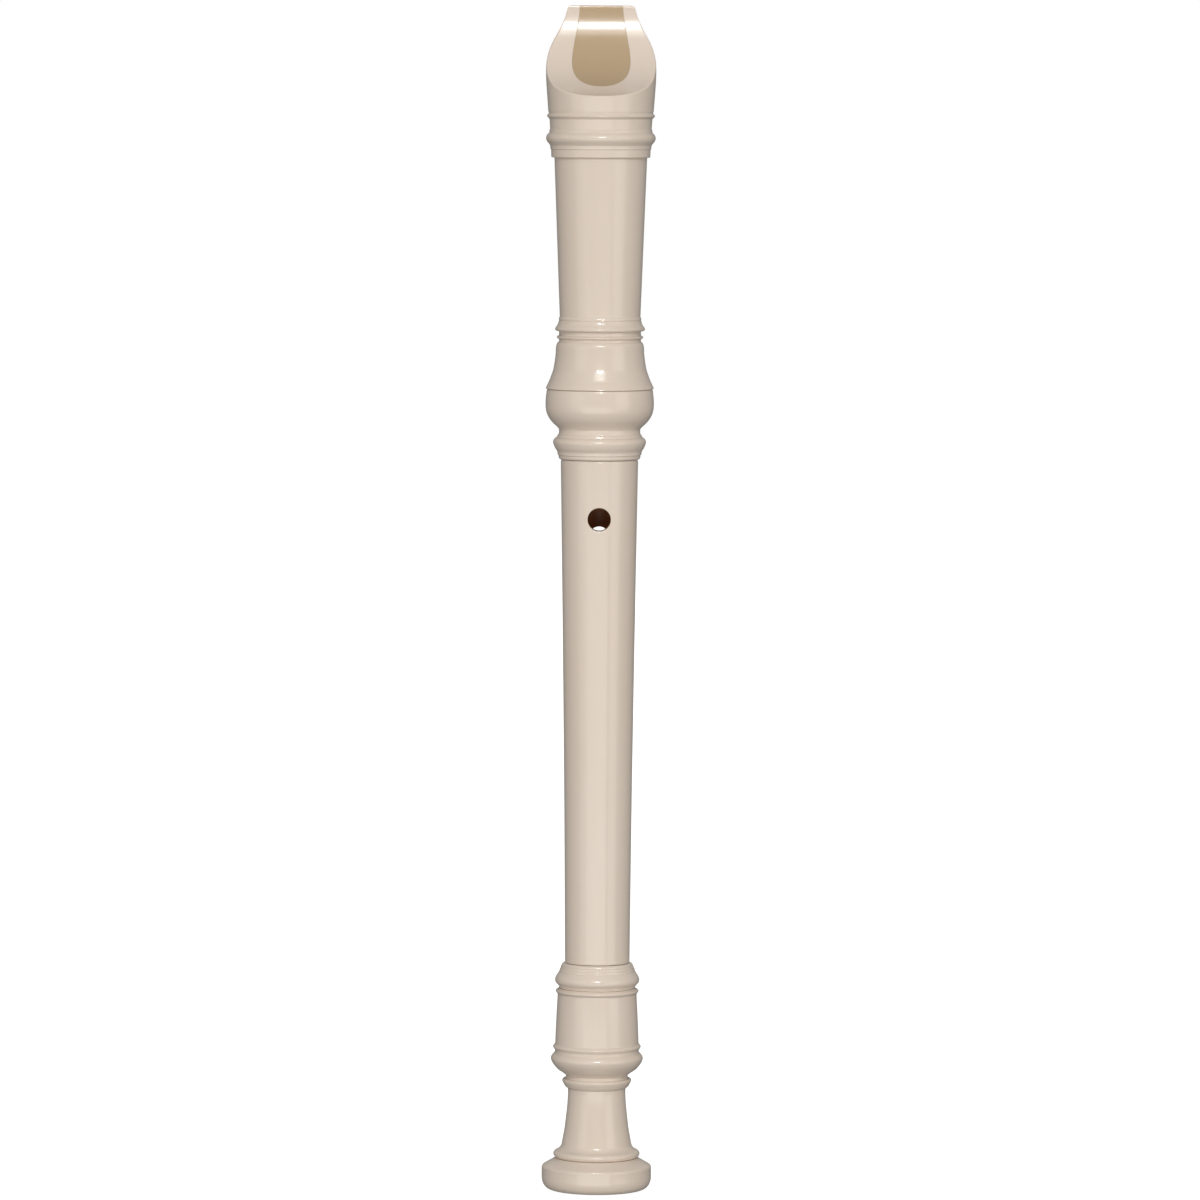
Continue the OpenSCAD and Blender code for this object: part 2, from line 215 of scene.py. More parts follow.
def with_levels(rows, levels):
    """Rows with more of them, on the same outline, at these heights."""
    for z in levels:
        if np.abs(rows[:, 1] - z).min() < 0.02:
            rows[np.abs(rows[:, 1] - z).argmin(), 1] = z
        else:
            k = np.searchsorted(rows[:, 1], z)
            t = (z - rows[k - 1, 1]) / (rows[k, 1] - rows[k - 1, 1])
            rows = np.insert(rows, k, rows[k - 1] * (1 - t) + rows[k] * t, axis=0)
    rows[:, 2:] = unit(rows[:, 2:])
    return rows


def corner_path(points, **kw):
    """An outline of straight runs from (r, z) corners."""
    return outline([[z, r, 0] for r, z in points], **kw)


# --------------------------------------------------------------- sheets
class Piece:
    """One closed mesh, gathered from sheets and welded along their edges."""

    def __init__(self, name):
        self.name, self.v, self.n, self.f, self.count = name, [], [], [], 0

    def points(self, pts, nrm):
        pts = np.asarray(pts, float).reshape(-1, 3)
        nrm = np.broadcast_to(np.asarray(nrm, float), pts.shape)
        first = self.count
        self.v.append(pts)
        self.n.append(nrm)
        self.count += len(pts)
        return first

    def grid(self, P, N, wrap=False, keep=None):
        rows, cols = P.shape[:2]
        N = np.broadcast_to(np.asarray(N, float), P.shape)
        first = self.points(P.reshape(-1, 3), N.reshape(-1, 3))
        for i in range(rows - 1):
            for j in range(cols if wrap else cols - 1):
                if keep is None or keep(i, j):
                    k = (j + 1) % cols
                    a, b = first + i * cols, first + (i + 1) * cols
                    self.f.append((a + j, a + k, b + k, b + j))

    def polygon(self, pts, nrm):
        keep = [pts[0]]
        for q in pts[1:]:
            if np.linalg.norm(q - keep[-1]) > 4e-4:
                keep.append(q)
        if np.linalg.norm(keep[0] - keep[-1]) < 4e-4:
            keep.pop()
        first = self.points(keep, nrm)
        self.f.append(tuple(range(first, first + len(keep))))

    def zipped(self, A, B, ta, tb, nA, nB):
        """Triangles between two rows of points, by the parameter along them."""
        a0, b0 = self.points(A, nA), self.points(B, nB)
        i = j = 0
        while i < len(A) - 1 or j < len(B) - 1:
            if j == len(B) - 1 or (i < len(A) - 1 and ta[i + 1] <= tb[j + 1]):
                self.f.append((a0 + i, a0 + i + 1, b0 + j))
                i += 1
            else:
                self.f.append((a0 + i, b0 + j + 1, b0 + j))
                j += 1

    def build(self):
        mesh = bpy.data.meshes.new(self.name)
        verts = np.concatenate(self.v) * MM
        normals = np.concatenate(self.n)
        mesh.from_pydata(verts.tolist(), [], self.f)
        loops = np.empty(len(mesh.loops), np.int32)
        mesh.loops.foreach_get("vertex_index", loops)
        layer = mesh.attributes.new("sheet_normal", "FLOAT_VECTOR", "CORNER")
        layer.data.foreach_set("vector", normals[loops].astype(np.float32).ravel())
        bm = bmesh.new()
        bm.from_mesh(mesh)
        bmesh.ops.remove_doubles(bm, verts=bm.verts, dist=2.5e-7)
        bmesh.ops.recalc_face_normals(bm, faces=bm.faces)
        open_edges = [e for e in bm.edges if len(e.link_faces) != 2]
        if open_edges:
            print(self.name, "has", len(open_edges), "open edges, first at",
                  [tuple(round(c / MM, 3) for c in v.co) for e in open_edges[:3] for v in e.verts])
        bm.to_mesh(mesh)
        bm.free()
        size = len(mesh.loops)
        flat = np.empty(size * 3, np.float32)
        mesh.attributes["sheet_normal"].data.foreach_get("vector", flat)
        flat = flat.reshape(-1, 3)
        face_n = np.empty(len(mesh.polygons) * 3, np.float32)
        mesh.polygons.foreach_get("normal", face_n)
        face_n = face_n.reshape(-1, 3)
        totals = np.empty(len(mesh.polygons), np.int32)
        mesh.polygons.foreach_get("loop_total", totals)
        owner = np.repeat(np.arange(len(totals)), totals)
        side = (flat * face_n[owner]).sum(1)
        flat[side < 0] *= -1
        weak = np.abs(side) < 0.2
        flat[weak] = face_n[owner][weak]
        mesh.attributes.remove(mesh.attributes["sheet_normal"])
        mesh.polygons.foreach_set("use_smooth", np.ones(len(totals), bool))
        mesh.normals_split_custom_set(unit(flat).tolist())
        obj = bpy.data.objects.new(self.name, mesh)
        bpy.context.scene.collection.objects.link(obj)
        return obj


def ring(r, z, theta):
    """Points at radius r and height z, turned by theta from +Y towards +X."""
    r, z, theta = np.broadcast_arrays(r, z, theta)
    return np.stack([r * np.sin(theta), r * np.cos(theta), z], -1)


def ring_n(nr, nz, theta):
    nr, nz, theta = np.broadcast_arrays(nr, nz, theta)
    return np.stack([nr * np.sin(theta), nr * np.cos(theta), nz], -1)


COLS = 192
STEP = 2 * math.pi / COLS
ROUND = np.arange(COLS) * STEP


def lathe(piece, rows, cols=COLS):
    theta = np.arange(cols) * 2 * math.pi / cols
    piece.grid(ring(rows[:, :1], rows[:, 1:2], theta[None]),
               ring_n(rows[:, 2:3], rows[:, 3:4], theta[None]), wrap=True)


def closed_ring(name, inner, line, chamfers):
    """A ring with a moulded outside and a plain sleeve bore."""
    low, high = line[0], line[-1]
    middle = (low[0] + high[0]) / 2
    path = [[middle, inner, 0], *chamfers, *line, [high[0], inner, 0], [middle, inner, 0]]
    rows = outline(path)
    piece = Piece(name)
    lathe(piece, rows)
    return piece.build()


# ---------------------------------------------------------- round holes
def bored_grid(piece, rows, cols, holes, inner):
    """A turned sheet with round holes let into it. Returns, for each hole,
    the loop of points and angles where its wall starts."""
    delta = 2 * math.pi / cols
    theta = np.arange(cols) * delta
    sign = -1 if inner else 1
    order = np.argsort(rows[:, 1])
    zz, rr = rows[order, 1], rows[order, 0]
    nr_, nz_ = rows[order, 2], rows[order, 3]

    def radius(z):
        return np.interp(z, zz, rr)

    def normal(z, ang, side):
        n = ring_n(np.interp(z, zz, nr_), np.interp(z, zz, nz_), ang)
        return n * np.array([1, side, 1])

    cut, loops = [], []
    for x0, z0, R, side, x_lo, x_hi in holes:
        soft = 0.16 if inner else 0.3
        r0 = radius(z0)
        margin = R + soft + (0.35 if inner else 0.5)
        lo = x0 - margin if x_lo is None else x_lo
        hi = x0 + margin if x_hi is None else x_hi
        m0 = int(round(math.asin(max(lo / r0, -0.97)) / delta))
        m1 = int(round(math.asin(min(hi / r0, 0.97)) / delta))
        zs = rows[:, 1]
        k0, k1 = sorted((int(np.abs(zs - (z0 - margin)).argmin()),
                         int(np.abs(zs - (z0 + margin)).argmin())))
        cols_cut = {(m if side > 0 else cols // 2 - m - 1) % cols for m in range(m0, m1)}
        cut.append((k0, k1, cols_cut))
        up = list(range(k0, k1 + 1)) if zs[k1] > zs[k0] else list(range(k1, k0 - 1, -1))
        edge = ([(m, up[0]) for m in range(m0, m1)] + [(m1, k) for k in up[:-1]]
                + [(m, up[-1]) for m in range(m1, m0, -1)] + [(m0, k) for k in up[:0:-1]])
        ang = np.array([m * delta for m, _ in edge])
        z = np.array([zs[k] for _, k in edge])
        psi = np.unwrap(np.arctan2(z - z0, radius(z) * np.sin(ang) - x0))
        flip = np.array([1, side, 1])

        def on_circle(rho):
            x, zc = x0 + rho * np.cos(psi), z0 + rho * np.sin(psi)
            return x, zc, np.arcsin(np.clip(x / radius(zc), -1, 1))

        _, zc, ac = on_circle(R + soft)
        P, N = [], []
        for t in (0, 0.3, 0.6, 0.85, 1):
            zt, at = z + (zc - z) * t, ang + (ac - ang) * t
            P.append(ring(radius(zt), zt, at) * flip)
            N.append(normal(zt, at, side))
        for q in range(1, 6):
            phi = q * math.pi / 10
            x, zc, ac = on_circle(R + soft * (1 - math.sin(phi)))
            y = np.sqrt(radius(zc)**2 - x**2) - sign * soft * (1 - math.cos(phi))
            P.append(np.stack([x, side * y, zc], -1))
            N.append(unit(math.cos(phi) * normal(zc, ac, side)
                          + math.sin(phi) * np.stack([-np.cos(psi), 0 * psi, -np.sin(psi)], -1)))
        P, N = np.array(P), np.array(N)
        piece.grid(P, N, wrap=True)
        loops.append((P[-1], N[-1], psi))
    piece.grid(ring(rows[:, :1], rows[:, 1:2], theta[None]),
               ring_n(rows[:, 2:3], rows[:, 3:4], theta[None]), wrap=True,
               keep=lambda i, j: not any(a <= i < b and j in c for a, b, c in cut))
    return loops


def hole_walls(piece, outer, inner, holes):
    for (A, nA, pa), (B, nB, pb), (x0, z0, R, side, _, _) in zip(outer, inner, holes):
        mid = (A[:, 1].mean() + B[:, 1].mean()) / 2
        for P, N, y in ((A, nA, mid + side * 0.3), (B, nB, mid - side * 0.3)):
            steps = []
            for t in (0, 0.5, 1):
                Q = P.copy()
                Q[:, 1] = P[:, 1] + (y - P[:, 1]) * t
                steps.append(Q)
            piece.grid(np.array(steps), np.array([N] * 3), wrap=True)
            if P is A:
                endA = steps[-1]
            else:
                endB = steps[-1]
        shift = np.searchsorted(pb, pa[0])
        B2 = np.roll(endB, -shift, axis=0)
        n2 = np.roll(nB, -shift, axis=0)
        tb = np.roll(pb, -shift)
        tb = np.where(tb < pa[0] - 1e-9, tb + 2 * math.pi, tb)
        close = lambda a: np.vstack([a, a[:1]])
        piece.zipped(close(endA), close(B2), np.append(pa, pa[0] + 2 * math.pi),
                     np.append(tb, tb[0] + 2 * math.pi), close(nA), close(n2))


def end_zip(piece, r_out, r_in, z, up, cols_in):
    """The flat end between a ring of COLS points and one of fewer."""
    a = np.append(ROUND, 2 * math.pi)
    b = np.arange(cols_in + 1) * 2 * math.pi / cols_in
    n = (0, 0, 1 if up else -1)
    piece.zipped(ring(r_out, z, a), ring(r_in, z, b), a, b, n, n)


def fine_levels(rows, holes, gap=0.36):
    """More rows near the holes."""
    spans = []
    for _, z0, R, *_ in holes:
        spans.append((z0 - R - 0.95, z0 + R + 0.95))
    levels = []
    for lo, hi in spans:
        count = math.ceil((hi - lo) / gap)
        levels += list(np.linspace(lo, hi, count + 1))
    levels = sorted(levels)
    keep = []
    for z in levels:
        if not keep or z - keep[-1] > gap * 0.55:
            keep.append(z)
    down = rows[0, 1] > rows[-1, 1]
    if down:
        rows = rows[::-1]
    # only add to the part of the outline that runs steadily upwards
    rows = with_levels(rows.copy(), keep)
    return rows[::-1] if down else rows


BORE_COLS = 96
PAIR_BIG, PAIR_SMALL, PAIR_X = 1.8, 1.4, 2.3


def tenon(z0, length, r, way):
    path = []
    for a, b in ((0.04, 0.22), (0.32, 0.37), (0.44, 0.49), (0.56, 0.61), (0.7, 0.92)):
        path += [(r - 0.2, z0 + way * length * a), (r, z0 + way * (length * a + 0.1)),
                 (r, z0 + way * (length * b - 0.1)), (r - 0.2, z0 + way * length * b)]
    return path + [(r - 0.2, z0 + way * (length - 0.5)), (r - 0.7, z0 + way * length)]


def make_middle():
    piece = Piece("middle_joint_body")
    zl, zh = FOOT_END + 0.1, HEAD_END - 0.1
    r_low, r_up = FOOT_SOCKET - PLAY, HEAD_SOCKET - PLAY
    holes = [(0, 188.0, 3.2, -1, None, None)]
    holes += [(0, z, d / 2, 1, None, None) for z, d in
              zip((182.4, 164, 145, 122.5, 104), (5.5, 5.6, 5.6, 5, 5.8))]
    holes += [(PAIR_X, 85.0, PAIR_BIG, 1, -0.3, None), (-PAIR_X, 85.0, PAIR_SMALL, 1, None, -0.3)]
    low = corner_path([(BORE_LOW + 0.4, LOWER_END)] + tenon(zl, 13.4, r_low, -1)[::-1]
                      + [(r_low - 0.2, zl), (8.9, zl), (9, 64), (9.02, 66)], ease=0.06)
    body = fine_levels(outline([[66, 9.02, 0]] + middle_line[2:7] + [[202, 10.715, 0]], n=8), holes)
    top = corner_path([(10.715, 202), (10.74, 203.6), (10.6, zh), (r_up - 0.2, zh)]
                      + tenon(zh, 18, r_up, 1) + [(BORE_TOP + 0.4, UPPER_END)], ease=0.06)
    lathe(piece, low)
    body[0, :2], body[-1, :2] = low[-1, :2], top[0, :2]
    outer = bored_grid(piece, body, COLS, holes, False)
    lathe(piece, top)
    slope = (BORE_TOP - BORE_LOW) / (UPPER_END - LOWER_END)
    at = lambda z: BORE_LOW + (z - LOWER_END) * slope
    z1, z2 = 76.0, 196.0
    mouth = corner_path([(BORE_TOP + 0.25, UPPER_END), (BORE_TOP, UPPER_END), (at(z2), z2)])
    bore = fine_levels(corner_path([(at(z2), z2), (at(z1), z1)]), holes, gap=0.4)
    tail = corner_path([(at(z1), z1), (BORE_LOW, LOWER_END), (BORE_LOW + 0.25, LOWER_END)])
    lathe(piece, mouth, cols=BORE_COLS)
    inner = bored_grid(piece, bore, BORE_COLS, holes, True)
    lathe(piece, tail, cols=BORE_COLS)
    hole_walls(piece, outer, inner, holes)
    end_zip(piece, BORE_TOP + 0.4, BORE_TOP + 0.25, UPPER_END, True, BORE_COLS)
    end_zip(piece, BORE_LOW + 0.4, BORE_LOW + 0.25, LOWER_END, False, BORE_COLS)
    return piece.build()


def make_foot():
    piece = Piece("foot_joint_body")
    holes = [(PAIR_X, 46.6, PAIR_BIG, 1, -0.3, None), (-PAIR_X, 46.6, PAIR_SMALL, 1, None, -0.3)]
    spigot = [[0.8, FOOT_BORE + 1.0, 0], [0.8, SPIGOT - 0.3, 0], [1.1, SPIGOT, 0], [BASE_SEAM, SPIGOT, 0]]
    socket = [[FOOT_SEAM, FOOT_SLEEVE, 0], [FOOT_END, FOOT_SLEEVE, 0],
              [FOOT_END, FOOT_SOCKET + 0.3, 0], [FOOT_END - 0.3, FOOT_SOCKET, 0],
              [FOOT_SOCKET_Z, FOOT_SOCKET, 0], [FOOT_SOCKET_Z, FOOT_BORE + 0.4, 0]]
    rows = outline(spigot + foot_line + socket)
    # the barrel between the rings, from just over the bulb's ring to the bead
    first = int(np.nonzero(rows[:, 1] > 40.9)[0][0])
    while rows[first, 0] > 11.72:
        first += 1
    last = int(np.nonzero((rows[:, 1] > 54.3) & (rows[:, 0] > 10))[0][0]) - 1
    barrel = fine_levels(rows[first:last + 1].copy(), holes)
    outer = bored_grid(piece, barrel, COLS, holes, False)
    lathe(piece, rows[:first + 1])
    lathe(piece, rows[last:])
    bore_top = corner_path([(FOOT_BORE + 0.25, FOOT_SOCKET_Z), (FOOT_BORE, FOOT_SOCKET_Z),
                            (FOOT_BORE, 49.4)])
    bore = fine_levels(corner_path([(FOOT_BORE, 49.4), (FOOT_BORE, 40.0)], step=2), holes, gap=0.4)
    bore_low = corner_path([(FOOT_BORE, 40.0), (FOOT_BORE, 1.5), (FOOT_BORE + 0.7, 0.8),
                            (FOOT_BORE + 0.85, 0.8)])
    lathe(piece, bore_top, cols=BORE_COLS)
    inner = bored_grid(piece, bore, BORE_COLS, holes, True)
    lathe(piece, bore_low, cols=BORE_COLS)
    hole_walls(piece, outer, inner, holes)
    end_zip(piece, FOOT_BORE + 0.4, FOOT_BORE + 0.25, FOOT_SOCKET_Z, True, BORE_COLS)
    end_zip(piece, FOOT_BORE + 1.0, FOOT_BORE + 0.85, 0.8, False, BORE_COLS)
    return piece.build()


# ------------------------------------------------------- beak and block
TIP_Y, CUT_R = 5.3, 26.0
CUT_Y, CUT_Z = TIP_Y - CUT_R, TOTAL + 0.4
EDGE_Y = math.sqrt(SEAT**2 - HALF**2)     # where seat and windway meet
TIP_ROUND = 0.6                  # how far below the tip its round begins


def cut_curve():
    """Side view of the beak's hollow, from low to tip: s, y, z, ny, nz."""
    low = math.acos((-15.9 - CUT_Y) / CUT_R)
    end = math.asin((CUT_Z - TOTAL + TIP_ROUND) / CUT_R)
    a = np.linspace(low, end, 900)
    y, z = CUT_Y + CUT_R * np.cos(a), CUT_Z - CUT_R * np.sin(a)
    t = np.linspace(0, 1, 40)[1:]
    p0, p1, p2 = (y[-1], z[-1]), (TIP_Y + 0.012, TOTAL), (EDGE_Y, TOTAL)
    y = np.append(y, (1 - t)**2 * p0[0] + 2 * t * (1 - t) * p1[0] + t * t * p2[0])
    z = np.append(z, (1 - t)**2 * p0[1] + 2 * t * (1 - t) * p1[1] + t * t * p2[1])
    s = np.append(0, np.cumsum(np.hypot(np.diff(y), np.diff(z))))
    ty, tz = np.gradient(y, s), np.gradient(z, s)
    k = np.hypot(ty, tz)
    return s, y, z, -tz / k, ty / k


CS, CY, CZ, CNY, CNZ = cut_curve()


def on_cut(x, s):
    x, s = np.broadcast_arrays(x, s)
    return (np.stack([x, np.interp(s, CS, CY), np.interp(s, CS, CZ)], -1),
            unit(np.stack([0 * s, np.interp(s, CS, CNY), np.interp(s, CS, CNZ)], -1)))


def split(half):
    """Angles of the COLS columns, with the 30th one each side at half."""
    j = np.arange(COLS)
    a = np.where(j <= 96, j, COLS - j)
    ang = np.where(a <= 30, half * a / 30, math.pi - (96 - a) * (math.pi - half) / 66)
    return np.where(j <= 96, ang, -ang)


TIP_STEPS = np.array([0, 0.08, 0.16, 0.25, 0.34, 0.45, 0.62, 0.9, 1.4, 2.1, 3.0, 4.1, 5.4])


def down_the_cut(radius, half):
    """Angles as in split, but with the first columns past half at set steps
    down the hollow from the tip, so that its rows run straight across."""
    s = CS[-1] - TIP_STEPS
    first = np.arccos(np.interp(s, CS, CY) / radius(np.interp(s, CS, CZ)))
    first[0] = half
    right = np.concatenate([first, np.linspace(first[-1], math.pi, 68 - len(first))[1:]])
    ang = split(half)
    ang[30:97] = right
    ang[97:COLS - 29] = -right[-2::-1]
    return ang


SIDE = np.arange(30, COLS - 29)           # columns round the back, 30 to 162
FRONT = np.arange(-30, 31)                # columns over the windway


def rounded_edge(P, N1, N2, size, toward1, toward2):
    """Points P along an edge, and the setbacks of the round on either side."""
    T = unit(np.gradient(P, axis=0))
    D1, D2 = unit(np.cross(N1, T)), unit(np.cross(N2, T))
    D1 *= np.sign((D1 * toward1).sum(-1, keepdims=True))
    D2 *= np.sign((D2 * toward2).sum(-1, keepdims=True))
    return P + D1 * size[:, None], P + D2 * size[:, None]


def taper(P, size, run):
    """Size of the round along an edge, growing from nothing at both ends."""
    s = np.concatenate([[0], np.cumsum(np.linalg.norm(np.diff(P, axis=0), axis=1))])
    return size * np.clip(np.minimum(s, s[-1] - s) / run, 0, 1)


def bezier_strip(piece, P1, P, P2, N1, N2, steps=5):
    rows, nrm = [], []
    for k in range(steps + 1):
        t = k / steps
        rows.append((1 - t)**2 * P1 + 2 * t * (1 - t) * P + t * t * P2)
        nrm.append(unit((1 - t) * N1 + t * N2))
    piece.grid(np.array(rows), np.array(nrm))


HEAD_ROWS = outline(head_line, n=5)


def head_at(z):
    """Radius and normal of the head's outside at a height."""
    zz = HEAD_ROWS[:, 1]
    return (np.interp(z, zz, HEAD_ROWS[:, 0]), np.interp(z, zz, HEAD_ROWS[:, 2]),
            np.interp(z, zz, HEAD_ROWS[:, 3]))


RAMP, UNDER = math.radians(13), math.radians(8)


def ramp_y(x, z):
    a = (FLOOR_R + 0.8) * math.cos(RAMP)
    return ARCH_Y + (FLOOR_R + 0.8) * np.sqrt(1 - x**2 / a**2) + (LIP - z) * math.tan(RAMP)


def under_y(x, z):
    a = (FLOOR_R + 0.5) * math.cos(UNDER)
    return ARCH_Y + (FLOOR_R + 0.5) * np.sqrt(1 - x**2 / a**2) - (LIP - z) * math.tan(UNDER)


def roof_y(x, z):
    r = FLOOR_R + 1.0 + 0.4 * (z - EXIT) / (TOTAL - EXIT)
    return ARCH_Y + np.sqrt(r**2 - x**2)


def solve(f, lo, hi):
    """Where f, which rises with its argument, crosses zero."""
    lo, hi = np.array(lo, float), np.array(hi, float)
    for _ in range(60):
        mid = (lo + hi) / 2
        up = f(mid) > 0
        hi, lo = np.where(up, mid, hi), np.where(up, lo, mid)
    return (lo + hi) / 2


def make_head():
    piece = Piece("head_joint_body")
    # ---- bore, socket, sleeve and underside of the flare
    beta = split(math.asin(HALF / HEAD_BORE))
    phi = down_the_cut(lambda z: SEAT, math.asin(HALF / SEAT))
    hidden = corner_path([
        (8.0, HEAD_SOCKET_Z), (HEAD_SOCKET, HEAD_SOCKET_Z), (HEAD_SOCKET, HEAD_END + 0.3),
        (HEAD_SOCKET + 0.3, HEAD_END), (HEAD_SLEEVE, HEAD_END), (HEAD_SLEEVE, SEAM),
        (14.3, SEAM)])
    lathe(piece, hidden)
    start = corner_path([(HEAD_BORE, 226), (HEAD_BORE, HEAD_SOCKET_Z), (7.7, HEAD_SOCKET_Z)])
    piece.grid(ring(start[:, :1], start[:, 1:2], beta[None]),
               ring_n(start[:, 2:3], start[:, 3:4], beta[None]), wrap=True)
    piece.grid(np.stack([ring(7.7, HEAD_SOCKET_Z, beta), ring(8.0, HEAD_SOCKET_Z, ROUND)]),
               (0, 0, -1), wrap=True)

    # ---- outside, from the flare to the beak, with the ramp let in
    flare = outline([[SEAM, 14.3, 0]] + head_line, n=5)
    beak_z = 300.9
    rows = flare[flare[:, 1] < beak_z - 0.03]
    r, nr, nz = head_at(beak_z)
    rows = np.vstack([rows, [r, beak_z, nr, nz]])
    z_edge = float(solve(lambda z: ramp_y(HALF, z) * -1 + np.sqrt(head_at(z)[0]**2 - HALF**2), 262, 280))
    levels = [z_edge] + list(np.arange(z_edge + 1.2, 287.4, 1.2)) + [LIP, EXIT]
    low = rows[rows[:, 1] < 250]
    high = with_levels(rows[rows[:, 1] >= 250], levels)
    rows = np.vstack([low, high])
    kb = int(np.abs(rows[:, 1] - z_edge).argmin())
    kt = int(np.abs(rows[:, 1] - EXIT).argmin())
    base = 13 * STEP
    signed = np.where(np.arange(COLS) <= 96, ROUND, ROUND - 2 * math.pi)
    R, Z = rows[:, 0], rows[:, 1]
    weight = np.clip((Z - 250) / 18, 0, 1) * np.clip((300.6 - Z) / 5, 0, 1)
    weight = weight * weight * (3 - 2 * weight)
    weight[kb:kt + 1] = 1
    half = base + weight * (np.arcsin(HALF / R) - base)
    a = np.abs(signed)[None]
    h = half[:, None]
    quarter = math.pi / 2
    theta = np.where(a <= base, a * h / base,
                     np.where(a < quarter, h + (a - base) * (quarter - h) / (quarter - base), a))
    theta = theta * np.sign(signed)[None]
    Rg, Zg = np.repeat(R[:, None], COLS, 1), np.repeat(Z[:, None], COLS, 1)
    window = np.arange(-13, 14)
    x = Rg[kb] * np.sin(theta[kb])
    for j in window:
        # the ramp's lower edge: ramp_y falls as z rises
        z = float(solve(lambda q: np.sqrt(head_at(q)[0]**2 - x[j]**2) - ramp_y(x[j], q), 262, 280))
        Zg[kb, j], Rg[kb, j] = z, head_at(z)[0]
        theta[kb, j] = math.asin(x[j] / Rg[kb, j])
    P = ring(Rg, Zg, theta)
    N = ring_n(rows[:, 2:3], rows[:, 3:4], theta)
    opening = set(range(13)) | set(range(COLS - 13, COLS))
    piece.grid(P, N, wrap=True, keep=lambda i, j: not (kb <= i < kt and j in opening))

    # ---- ramp, lip, undercut
    foot_of_ramp = P[kb][window]
    u = foot_of_ramp[:, 0] / HALF
    t = np.linspace(0, 1, 20)[:, None]
    rz = foot_of_ramp[None, :, 2] + (LIP - foot_of_ramp[None, :, 2]) * t
    rx = np.repeat((u * HALF)[None], 20, 0)
    ramp = np.stack([rx, ramp_y(rx, rz), rz], -1)
    ramp[0] = foot_of_ramp
    sq = (FLOOR_R + 0.8) * math.cos(RAMP)
    rn = unit(np.stack([(FLOOR_R + 0.8) * rx / sq**2 / np.sqrt(1 - rx**2 / sq**2),
                        np.ones_like(rx), np.full_like(rx, math.tan(RAMP))], -1))
    piece.grid(ramp, rn)

    bx = HEAD_BORE * np.sin(beta[FRONT])
    by = HEAD_BORE * np.cos(beta[FRONT])
    bz = solve(lambda z: under_y(bx, z) - by, np.full(61, 274.0), np.full(61, 289.39))
    t = np.linspace(0, 1, 12)[:, None]
    uz = bz[None] + (LIP - bz[None]) * t
    ux = np.repeat(bx[None], 12, 0)
    under = np.stack([ux, under_y(ux, uz), uz], -1)
    under[0, :, 1] = by
    sq = (FLOOR_R + 0.5) * math.cos(UNDER)
    un = unit(np.stack([-(FLOOR_R + 0.5) * ux / sq**2 / np.sqrt(1 - ux**2 / sq**2),
                        -np.ones_like(ux), np.full_like(ux, math.tan(UNDER))], -1))
    piece.grid(under, un)
    piece.zipped(ramp[-1], under[-1], ramp[-1][:, 0], under[-1][:, 0], (0, 0, 1), (0, 0, 1))

    # ---- bore up to the undercut and the seat
    z_side = bz[-1]
    top = np.full(COLS, z_side)
    top[FRONT] = bz
    t = np.linspace(0, 1, 16)[:, None]
    z = 226 + (top[None] - 226) * t
    piece.grid(ring(HEAD_BORE, z, beta[None]), ring_n(-1, 0, np.repeat(beta[None], 16, 0)), wrap=True)
    z = np.linspace(z_side, EXIT - 0.1, 6)[:, None]
    upper_bore = ring(HEAD_BORE, z, beta[SIDE][None])
    piece.grid(upper_bore, ring_n(-1, 0, np.repeat(beta[SIDE][None], 6, 0)))
    ledge = np.stack([ring(HEAD_BORE, EXIT - 0.1, beta[SIDE]),
                      ring((HEAD_BORE + SEAT) / 2, EXIT - 0.1, (beta[SIDE] + phi[SIDE]) / 2),
                      ring(SEAT, EXIT - 0.1, phi[SIDE])])
    ledge[1, 0, 0], ledge[1, -1, 0] = HALF, -HALF
    piece.grid(ledge, (0, 0, 1))

    # ---- edge of the beak's hollow, outside and at the seat
    tip = down_the_cut(lambda z: head_at(z)[0], math.acos(EDGE_Y / 10.05))
    ang = tip[SIDE]
    s = solve(lambda q: np.interp(q, CS, CY) - head_at(np.interp(q, CS, CZ))[0] * np.cos(ang),
              np.zeros(len(SIDE)), np.full(len(SIDE), CS[-1]))
    s[0] = s[-1] = CS[-1]
    r, nr, nz = head_at(np.interp(s, CS, CZ))
    edge = ring(r, np.interp(s, CS, CZ), ang)
    edge[:, 1] = np.interp(s, CS, CY)
    edge[0], edge[-1] = (edge[0, 0], EDGE_Y, TOTAL), (edge[-1, 0], EDGE_Y, TOTAL)
    n_out, n_cut = ring_n(nr, nz, ang), on_cut(edge[:, 0], s)[1]
    away = np.array([0, 0, -1.0]) + 0 * edge
    inward = unit(np.array([0, 3.0, TOTAL]) - edge)
    out1, cut1 = rounded_edge(edge, n_out, n_cut, taper(edge, 0.5, 3.0), away, inward)
    a1 = np.arctan2(out1[:, 0], out1[:, 1])
    a1 = np.where(a1 - ang > math.pi, a1 - 2 * math.pi, np.where(a1 - ang < -math.pi, a1 + 2 * math.pi, a1))
    z1 = out1[:, 2]
    out1 = ring(head_at(z1)[0], z1, a1)
    s1 = np.interp(cut1[:, 2], CZ, CS)
    low_part = cut1[:, 1] < 4.5
    s1 = np.where(low_part, np.interp(cut1[:, 1], CY, CS), s1)
    s1[0] = s1[-1] = CS[-1]
    cut1 = on_cut(cut1[:, 0], s1)[0]
    cut1[0], cut1[-1] = edge[0], edge[-1]
    out1[0], out1[-1] = edge[0], edge[-1]
    n_out1 = ring_n(*head_at(z1)[1:], a1)
    n_cut1 = on_cut(cut1[:, 0], s1)[1]
    bezier_strip(piece, out1, edge, cut1, n_out1, n_cut1, 6)

